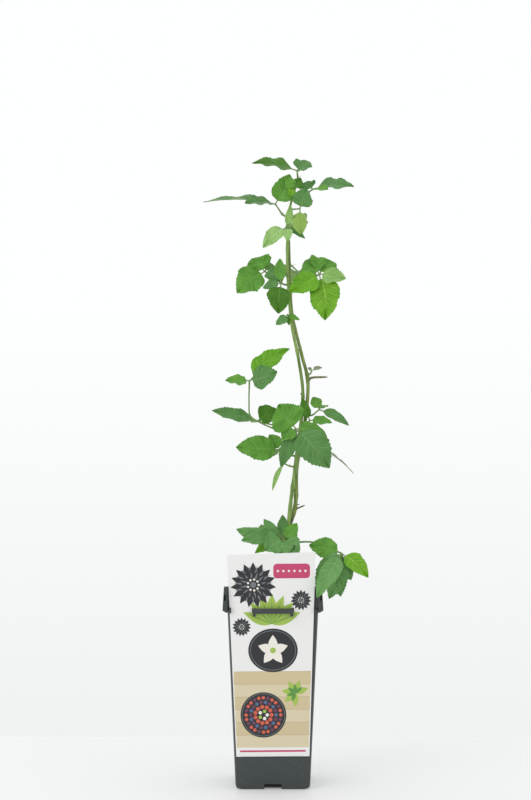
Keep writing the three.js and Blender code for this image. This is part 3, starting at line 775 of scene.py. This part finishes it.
# The leaflets are toothed blades 0.3 mm thick, puffed up between eight pairs of sunken side
# veins and paler beneath. Each hangs on its stalk by the same rule, in one of nine tints.
# A tint is its light, shaded, vein and underside colour, and how far its blade puffs up.
TINTS = {
    # deep: the leaf green made darker for leaflets in the shade of others, at the back and below:
    # painted shade
    "deep": ("#4e8320", "#42741b", "#61963a", "#7ea35a", 0.7),
    "mid": ("#66a23b", "#578f33", "#78ad4e", "#8db06a", 0.6),
    # grey: the leaf green greyed and paled for blades that show a whitish sheen from above:
    # painted sheen
    "grey": ("#5d8f4c", "#518242", "#75a061", "#93b380", 0.6),
    # soft: the grey tint made lighter for the low leaves round the base, to lift the shade that
    # falls on them: painted light
    "soft": ("#6ca058", "#5f934e", "#82b06e", "#95b783", 0.5),
    # fresh: a yellow-green a little below bright, for leaflets with light shining through them:
    # painted light
    "fresh": ("#6bab21", "#5a9a1c", "#8cc043", "#93bb52", 0.8),
    # bright: a glowing yellow-green with pale veins for leaflets with light shining through them:
    # painted light in place of translucency
    "bright": ("#73af25", "#5f9e1e", "#a6d058", "#94b850", 1.0),
    "pale": ("#8fbb66", "#80ad58", "#a9cd80", "#94b559", 0.8),
    "faded": ("#8b9a7c", "#7c8a6c", "#a2ae93", "#94a184", 0.8),
    "young": ("#a3cd7d", "#90bd68", "#bfe09f", "#a8cb84", 1.0),
}
PATCH = 13.3333 * MM
PEBBLE = 0.9 * MM
PEBBLE_DEPTH = 0.12 * MM
VEIN_PAIRS = 8
VEIN_SWEEP = 0.3
FIRST_VEIN = 0.32
BLADE_FOOT = 0.12
BLADE_HALF_THICKNESS = 0.006
PUFF = 0.026
KEEL = 0.014
MAIN_RIB = 0.012
SIDE_RIB = 0.006
TOOTH_LEAN = 0.009
FOOT_POWER = 0.5
TIP_POWER = 0.85
# Rows of points at each side vein: how far past it, how far the margin stands out, and how
# far the blade puffs up. Then the places of the points in a row.
VEIN_ROWS = (
    (-0.04, 0.035, -1), (0.04, 0.035, -1), (0.27, -0.025, 0.5), (0.5, 0.012, 1),
    (0.73, -0.025, 0.5),
)
ACROSS = (-1, -0.93, -0.8, -0.6, -0.4, -0.2, -0.035, 0, 0.035, 0.2, 0.4, 0.6, 0.8, 0.93, 1)


def blade_share(along):
    """A leaflet's half width along its rib, as a share of the widest."""
    widest = FOOT_POWER / (FOOT_POWER + TIP_POWER)
    full = widest**FOOT_POWER * (1 - widest) ** TIP_POWER
    return max(along, 0) ** FOOT_POWER * max(1 - along, 0) ** TIP_POWER / full


def pattern_leaflet():
    """One leaflet, one unit long and two wide, whose heights are shares of a real width."""
    stations = [(0.0, 0.0, 0.0)]
    for pair in range(VEIN_PAIRS):
        for past, tooth, puff in VEIN_ROWS:
            stations.append(((pair + FIRST_VEIN + past) / VEIN_PAIRS, tooth, puff))
    stations.append((1.0, 0.0, 0.0))
    upper = []
    lower = []
    for station, tooth, puff in stations:
        margin = station + VEIN_SWEEP * math.sin(math.pi * station)
        half = max(blade_share(margin), 0.02)
        for row in ACROSS:
            edge = abs(row)
            outer = max(0, edge * 5 - 4)
            along = station + (margin - station) * edge
            toothed = half + tooth * half**0.5 * outer
            ahead = TOOTH_LEAN * outer * (1 if tooth > 0 else -1) * (puff != 0)
            lift = PUFF * puff * max(0, math.sin(math.pi * edge)) ** 0.6
            lift -= KEEL * math.exp(-((edge / 0.1) ** 2))
            rib = MAIN_RIB * (edge < 0.01) + SIDE_RIB * (puff < 0) * (0.01 < edge < 0.9)
            where = BLADE_FOOT + (1 - BLADE_FOOT) * min(1, along + ahead)
            upper.append((row * toothed, where, lift + BLADE_HALF_THICKNESS))
            lower.append((row * toothed, where, lift - BLADE_HALF_THICKNESS - rib))
    count = len(ACROSS)
    total = len(upper)
    last = total - count
    faces = []
    veined = []
    beneath = []
    for first in range(0, last, count):
        for r in range(count - 1):
            a, d = first + r, first + r + count
            side_vein = first // count % len(VEIN_ROWS) == 1 and 1 < r < count - 3
            faces += [(a, a + 1, d + 1, d), (total + a, total + d, total + d + 1, total + a + 1)]
            veined += [side_vein or r in (count // 2 - 1, count // 2), False]
            beneath += [False, True]
    rim = []
    for a in range(0, last, count):
        rim += [(a, a + count), (a + 2 * count - 1, a + count - 1)]
    rim += [(r + 1, r) for r in range(count - 1)]
    rim += [(last + r, last + r + 1) for r in range(count - 1)]
    faces += [(p, q, total + q, total + p) for p, q in rim]
    veined += [False] * len(rim)
    beneath += [False] * len(rim)
    mesh = bpy.data.meshes.new("leaflet_pattern")
    mesh.from_pydata(upper + lower, [], faces)
    mesh.attributes.new("veined", "BOOLEAN", "FACE").data.foreach_set("value", veined)
    mesh.attributes.new("beneath", "BOOLEAN", "FACE").data.foreach_set("value", beneath)
    return new_piece("leaflet_pattern", mesh)


def leaf_skin(name, colour, shade, vein, roughness):
    """Leaf surface: two close greens in soft patches, and a fine pebbled relief."""
    material, tree, shader, place = new_finish(
        name, Roughness=roughness, IOR=1.42, Specular_IOR_Level=0.3
    )
    patches = add(tree, NOISE, {"Vector": place, "Scale": 1 / PATCH, "Detail": 3})
    cells = add(tree, "ShaderNodeTexVoronoi", {"Vector": place, "Scale": 1 / PEBBLE})
    green = overlaid(tree, patches, 0.35, 0.65, shade, colour)
    netted = overlaid(tree, cells, 0.3, 0.9, green, vein, 0.16)
    surfaced(tree, shader, netted, cells, PEBBLE_DEPTH, 0.6, invert=True)
    return material


# The rule that hangs a leaflet on each point: the pattern's length runs along the arched rib
# from the joint, its width lies across it, and the blade folds up and ripples to its margins.
leaf_rule, given, result = new_rule(
    "leaflet_on_rib",
    Object="Leaflet",
    Float="Arch, Fold, Ripple, Bend, Relief",
    Material="Blade, Veins, Underside",
)
hung = copies(leaf_rule, given["Geometry"], given["Leaflet"])
real = add(leaf_rule, "GeometryNodeRealizeInstances", {"Geometry": hung})
known = {socket.name: socket for socket in given}
for label, kind in (
    ("joint", "FLOAT_VECTOR"), ("reach", "FLOAT_VECTOR"), ("facing", "FLOAT_VECTOR"),
    ("width", "FLOAT"), ("twist", "FLOAT"), ("phase", "FLOAT"),
    ("veined", "BOOLEAN"), ("beneath", "BOOLEAN"),
):
    node = add(leaf_rule, ATTRIBUTE, {"Name": label}, data_type=kind)
    known[label] = node.outputs["Attribute"]
known["position"] = add(leaf_rule, "GeometryNodeInputPosition", {})
work_out(leaf_rule, known, VECTOR, [
    ("local", "SUBTRACT", "position", "joint"),
    ("along", "NORMALIZE", "reach"),
    ("length", "LENGTH", "reach"),
])
part = add(leaf_rule, "ShaderNodeSeparateXYZ", {0: known["local"]})
known |= {socket.name: socket for socket in part.outputs}

# No two leaflets are quite alike: each is broader and narrower by turns along its length
seed = add(leaf_rule, "ShaderNodeCombineXYZ", {0: known["X"], 1: known["Y"], 2: known["phase"]})
chanced = add(leaf_rule, NOISE, {"Vector": seed, "Scale": 2.2, "Detail": 1})
limits = {"Value": chanced, "From Min": 0.2, "From Max": 0.8, "To Min": 0.9, "To Max": 1.1}
known["uneven"] = add(leaf_rule, RANGE, limits)
work_out(leaf_rule, known, MATH, [
    # Across the blade, with the rib's own bend to one side
    ("half", "MULTIPLY", "width", 0.5),
    ("broad", "MULTIPLY", "half", "uneven"),
    ("across", "MULTIPLY", "X", "broad"),
    ("left", "SUBTRACT", 1, "Y"),
    ("hump", "MULTIPLY", "left", "Y"),
    ("lean", "SINE", "phase"),
    ("bend", "MULTIPLY", "lean", "Bend"),
    ("swing", "MULTIPLY", "bend", "length"),
    ("aside", "MULTIPLY_ADD", "swing", "hump", "across"),
    # Upwards: the rib's arch, the fold to the margins, the ripple and the puffed blade
    ("steep", "MULTIPLY", "Arch", 4),
    ("tall", "MULTIPLY", "steep", "length"),
    ("arch", "MULTIPLY", "tall", "hump"),
    ("spread", "ABSOLUTE", "across"),
    ("folded", "MULTIPLY_ADD", "spread", "Fold", "arch"),
    ("cycle", "MULTIPLY_ADD", "Y", 17, "phase"),
    ("shifted", "MULTIPLY_ADD", "X", 1.9, "cycle"),
    ("wave", "SINE", "shifted"),
    ("strength", "MULTIPLY", "spread", "Ripple"),
    ("rippled", "MULTIPLY_ADD", "wave", "strength", "folded"),
    ("puffed", "MULTIPLY", "Z", "Relief"),
    ("lift", "MULTIPLY_ADD", "puffed", "width", "rippled"),
    # The blade turns about its rib towards its tip
    ("turn", "MULTIPLY", "twist", "Y"),
])
turning = {"Vector": known["facing"], "Axis": known["along"], "Angle": known["turn"]}
known["face"] = add(leaf_rule, "ShaderNodeVectorRotate", turning)
work_out(leaf_rule, known, VECTOR, [
    ("side", "CROSS_PRODUCT", "along", "face"),
    ("onward", "SCALE", "reach", "Y"),
    ("outward", "SCALE", "side", "aside"),
    ("upward", "SCALE", "face", "lift"),
    ("rib", "ADD", "joint", "onward"),
    ("beside", "ADD", "rib", "outward"),
    ("place", "ADD", "beside", "upward"),
])
placed = add(leaf_rule, MOVE, {"Geometry": real, "Position": known["place"]})
# The whole leaflet gets the blade's finish, then its underside and its veins their own
for marked, look in ((True, "Blade"), ("beneath", "Underside"), ("veined", "Veins")):
    chosen = {"Selection": known.get(marked, marked), "Material": given[look]}
    placed = add(leaf_rule, "GeometryNodeSetMaterial", {"Geometry": placed, **chosen})
leaf_rule.links.new(placed.outputs[0], result)

leaflet = pattern_leaflet()
chance = np.random.default_rng(23)
for tint, (colour, shade, vein, under, relief) in TINTS.items():
    rows = [row[1:] for row in leaflet_rows if row[0] == tint]
    joints, reaches, facings, widths = (np.array(column) for column in zip(*rows))
    base = bpy.data.meshes.new("leaflets_" + tint)
    base.from_pydata([tuple(joint) for joint in joints * MM], [], [])
    for label, values in (
        ("joint", joints * MM), ("reach", reaches * MM), ("facing", facings),
        ("width", widths * MM), ("twist", chance.uniform(-0.3, 0.3, len(rows))),
        ("phase", chance.uniform(0, 6.28, len(rows))),
    ):
        kind, field = ("FLOAT_VECTOR", "vector") if values.ndim > 1 else ("FLOAT", "value")
        base.attributes.new(label, kind, "POINT").data.foreach_set(field, values.ravel())
    piece = grow(
        "leaflets_" + tint,
        base,
        leaf_rule,
        Leaflet=leaflet, Arch=0.05, Fold=0.18, Ripple=0.12, Bend=0.25, Relief=relief,
        Blade=leaf_skin(tint + "_leaf_upper_skin", colour, shade, vein, 0.4),
        Veins=leaf_skin(tint + "_leaf_vein", vein, vein, vein, 0.45),
        Underside=leaf_skin(tint + "_leaf_lower_skin", under, under, vein, 0.6),
    )
    smooth(piece.data, 55)
    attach(piece, "root")
    if tint == "mid":
        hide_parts(*LEAVES)
bpy.data.objects.remove(leaflet)


# The card is a printed sheet of white polypropylene, 0.6 mm thick, slid into the bay behind
# the pot's bar. Its print lies a hair proud of the sheet: plain shapes in flat ink colours.
CARD_WHITE = "#f0f0ee"
INK = {
    "magenta": "#c8446f", "black": "#25282b", "slate": "#73777c", "leaf": "#a3c254",
    "green": "#5c9443", "sand": "#dccfae", "oat": "#d3c29b", "seam": "#b9a47f",
    "coral": "#d6604a", "plum": "#6b3f58", "blue": "#566a8e", "pale": "#f1ede4",
}
MOTTLE = 2.38095 * MM
INK_STEP = 0.03
PRINT_ROOT = -3
CARD_FACE = 0.6
CARD_LOW = 36.4
CARD_HEIGHT = 223.2
CARD_HALF = 40
CARD_WIDENS = 8.3
CARD_BEHIND_POT = 1.8
CARD_ROLL = 0.45


def printed(name, colour):
    """Flat offset ink: an even colour with the faint mottle of print on plastic."""
    material, tree, shader, place = new_finish(name, Roughness=0.42, IOR=1.49)
    mottle = add(tree, NOISE, {"Vector": place, "Scale": 1 / MOTTLE, "Detail": 3})
    light = [min(1, c * 1.02) for c in linear(colour)[:3]] + [1]
    dark = [c * 0.97 for c in linear(colour)[:3]] + [1]
    shade = overlaid(tree, mottle, 0, 1, dark, light)
    tree.links.new(shade, shader.inputs["Base Color"])
    return material


inks = {name: printed("ink_" + name, colour) for name, colour in INK.items()}
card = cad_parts["label_card"]
card.data.materials.clear()
card.data.materials.append(printed("white_polypropylene_sheet", CARD_WHITE))

card_place = (
    Matrix.Translation((0, (CARD_BEHIND_POT - half_at(CARD_LOW)) * MM, CARD_LOW * MM))
    @ Matrix.Rotation(math.pi / 2 + math.atan(POT_SLOPE), 4, "X")
    @ Matrix.Rotation(math.radians(CARD_ROLL), 4, "Z")
)


def card_half(height):
    """The card's half width at a height above its foot."""
    return CARD_HALF + CARD_WIDENS * height / CARD_HEIGHT


def oval(x, y, wide, high):
    """The outline of an oval on the card, in millimetres from the middle of the card's foot."""
    angles = np.linspace(0, 2 * math.pi, 48, endpoint=False)
    return [(x + wide * math.cos(a), y + high * math.sin(a)) for a in angles]


def petal(x, y, length, width, turn):
    """A pointed leaf or petal outline that starts at a spot and runs the way of the turn."""
    shares = np.linspace(0, 1, 11)
    edge = [(t * length, width / 2 * math.sin(math.pi * t**0.8)) for t in shares]
    back = [(u, -v) for u, v in reversed(edge[1:-1])]
    c, s = math.cos(turn), math.sin(turn)
    return [(x + u * c - v * s, y + u * s + v * c) for u, v in edge + back]


def bar(left, right, low, high, corner=0.01):
    """A rectangle on the card with rounded corners."""
    outline = []
    for cx, cy, start in (
        (right - corner, high - corner, 0), (left + corner, high - corner, 90),
        (left + corner, low + corner, 180), (right - corner, low + corner, 270),
    ):
        for step in range(5):
            a = math.radians(start + 22.5 * step)
            outline.append((cx + corner * math.cos(a), cy + corner * math.sin(a)))
    return outline


def whorl(ink, layer, x, y, length, width, count, start=90, spread=360):
    """Petals fanned about a spot; neighbours lie in layers of their own, so none share one."""
    for i in range(count):
        turn = math.radians(start + spread * i / count)
        prints[ink].append((layer + i % 2 / 2 + i % 3 / 8, petal(x, y, length, width, turn)))


def ring_of_dots(x, y, reach, count, size, names, layer):
    """Dots round a spot in inks that take turns."""
    for i in range(count):
        a = 2 * math.pi * i / count
        spot = (x + reach * math.cos(a), y + reach * math.sin(a))
        dots[names[i % len(names)]].append((spot, size, layer))


prints = {name: [] for name in INK}
dots = {name: [] for name in INK}

# The lower half: bands of sand and oat, a dark round with rings of dots, and a sprig
for i, low in enumerate(range(10, 94, 14)):
    half = card_half(low) - 0.8
    prints[("sand", "oat")[i % 2]].append((1, bar(-half, half, low, low + 14)))
    prints["seam"].append((2, bar(-half, half, low + 13.6, low + 14)))
prints["magenta"].append((1, bar(-36, 36, 5, 7)))
prints["black"].append((3, oval(-10, 46, 25, 25)))
prints["slate"].append((4, oval(-10, 46, 23.6, 23.6)))
prints["black"].append((5, oval(-10, 46, 23, 23)))
for reach, count, size, names in (
    (19, 24, 1.9, ("coral", "coral", "plum")), (14, 18, 2.0, ("blue", "plum")),
    (9, 11, 2.2, ("coral",)), (4.2, 5, 1.9, ("pale", "leaf")),
):
    ring_of_dots(-10, 46, reach, count, size, names, 6)
whorl("leaf", 3, 25, 70, 15, 7, 6, 20, 300)
whorl("green", 4, 25, 70, 10, 4, 5, 40, 260)

# The upper half: a plaque with a flower, a fan of leaves behind the bar, dark rosettes, a band
prints["black"].append((3, oval(1, 117, 27, 24)))
prints["slate"].append((4, oval(1, 117, 25, 22)))
prints["black"].append((5, oval(1, 117, 24.3, 21.3)))
whorl("pale", 6, 1, 117, 17, 10, 5)
dots["leaf"].append(((1, 117), 3.2, 8))
whorl("leaf", 1, 0, 146, 34, 12, 7, 22, 158)
whorl("green", 3, 0, 146, 29, 1, 7, 22, 158)
for x, y, reach in ((-20, 189, 25), (32, 172, 11.5), (-33, 143, 10.5)):
    whorl("black", 2, x, y, reach, reach * 0.42, 15)
    whorl("slate", 3, x, y, reach * 0.86, reach * 0.12, 15, 102)
    whorl("black", 4, x, y, reach * 0.7, reach * 0.34, 12, 100)
    whorl("slate", 5, x, y, reach * 0.6, reach * 0.1, 12, 100)
    whorl("black", 6, x, y, reach * 0.42, reach * 0.22, 9)
    dots["slate"].append(((x, y), reach * 0.13, 8))
    ring_of_dots(x, y, reach * 0.24, 9, reach * 0.05, ("pale",), 8)
prints["magenta"].append((3, bar(2, 42, 196, 212, 4)))
for i in range(6):
    dots["pale"].append(((7 + 6 * i, 204), 1.3, 4))


def on_card(x, y, layer):
    """A spot on the card's face, raised by its ink layers."""
    return card_place @ Vector((x * MM, y * MM, (CARD_FACE + INK_STEP * layer) * MM))


for ink, shapes in prints.items():
    if not shapes:
        continue
    shape = bmesh.new()
    for layer, outline in shapes:
        top = [shape.verts.new(on_card(x, y, layer)) for x, y in outline]
        foot = [shape.verts.new(on_card(x, y, PRINT_ROOT)) for x, y in outline]
        shape.faces.new(top)
        shape.faces.new(list(reversed(foot)))
        for i in range(len(top)):
            j = (i + 1) % len(top)
            shape.faces.new((top[j], top[i], foot[i], foot[j]))
    mesh = bpy.data.meshes.new("print_" + ink)
    shape.to_mesh(mesh)
    shape.free()
    piece = new_piece("print_" + ink, mesh, inks[ink])
    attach(piece, "root")

# Printed dots: a disc of each point's own half width, turned to lie on the card
DISC_DEPTH = 0.1 * MM
dotting, given, result = new_rule("printed_dots", Object="Disc", Vector="Facing", Material="Ink")
reach = add(dotting, ATTRIBUTE, {"Name": "half_width"}, data_type="FLOAT")
wide = add(dotting, "ShaderNodeCombineXYZ", {"X": reach, "Y": reach, "Z": 1.0})
how = {"Rotation": given["Facing"], "Scale": wide}
coat(dotting, copies(dotting, given["Geometry"], given["Disc"], **how), given["Ink"], result)

disc_mesh = bpy.data.meshes.new("disc")
shape = bmesh.new()
bmesh.ops.create_cone(shape, cap_ends=True, segments=18, radius1=1, radius2=1, depth=DISC_DEPTH)
shape.to_mesh(disc_mesh)
shape.free()
unit_disc = new_piece("disc", disc_mesh)
facing = list(card_place.to_euler())
for ink, rows in dots.items():
    if not rows:
        continue
    base = bpy.data.meshes.new("dots_" + ink)
    base.from_pydata([tuple(on_card(*spot, layer)) for spot, _, layer in rows], [], [])
    sizes = [size * MM for _, size, _ in rows]
    base.attributes.new("half_width", "FLOAT", "POINT").data.foreach_set("value", sizes)
    piece = grow("dots_" + ink, base, dotting, Disc=unit_disc, Facing=facing, Ink=inks[ink])
    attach(piece, "root")
bpy.data.objects.remove(unit_disc)


# The studio: a pale table with a faint painted glow that fades its shadows, whose far edge shows
# behind the pot, a near-white backdrop all round, and large soft lights from the front left, the
# right and above.
TABLE_CORNERS = ((-2.2, -2.4), (2.2, -2.4), (2.2, 0.27), (-2.2, 0.27))
TABLE_HEIGHTS = (-0.02, -0.0002)
LIT_TO = Vector((0, 0, 0.4))

# White acrylic sheet, satin, with a painted glow of its own that lightens and fades the shadows on
# it
acrylic_painted_glow = new_finish(
    "white_lit_acrylic",
    Base_Color=linear("#cbcccc"),
    Roughness=0.55,
    Emission_Color=(1, 1, 1, 1),
    Emission_Strength=0.27,
)[0]
slab = skinned("table", [[(x, y, z) for x, y in TABLE_CORNERS] for z in TABLE_HEIGHTS])
table = new_piece("table", slab, acrylic_painted_glow)

world = bpy.data.worlds.new("studio")
bpy.context.scene.world = world
world.use_nodes = True
tree = world.node_tree
sky = tree.nodes["Background"]
direction = add(tree, "ShaderNodeTexCoord", {}).outputs["Generated"]
way = add(tree, "ShaderNodeSeparateXYZ", {0: direction}).outputs
backdrop = overlaid(tree, way["Z"], -0.2, 0.05, "#eff1f1", "#feffff")
limits = {"Value": way["Y"], "From Min": -0.6, "From Max": 0.5, "To Min": 0.76}
behind = add(tree, RANGE, limits)
tree.links.new(backdrop, sky.inputs["Color"])
tree.links.new(behind.outputs[0], sky.inputs["Strength"])
bpy.context.scene.view_settings.view_transform = "Standard"

for name, spot, power, size in (
    ("key", (-1.5, -1.6, 1.6), 13, 1.6),
    ("fill", (1.8, -1.4, 1.0), 2, 1.4),
    ("top", (0.1, 0.1, 2.3), 2, 1.4),
):
    light = bpy.data.lights.new(name, "AREA")
    light.energy = power
    light.size = size
    lamp = new_piece(name, light)
    lamp.location = spot
    lamp.rotation_euler = (LIT_TO - Vector(spot)).to_track_quat("-Z", "Y").to_euler()

# The camera looks level at the plant from the front, two metres away
camera = bpy.data.cameras.new("camera")
camera.lens = 80.52
camera.sensor_width = 36
eye = new_piece("camera", camera)
eye.location = (-0.0081, -2.0, 0.4266)
eye.rotation_euler = (math.pi / 2, 0, 0)
bpy.context.scene.camera = eye
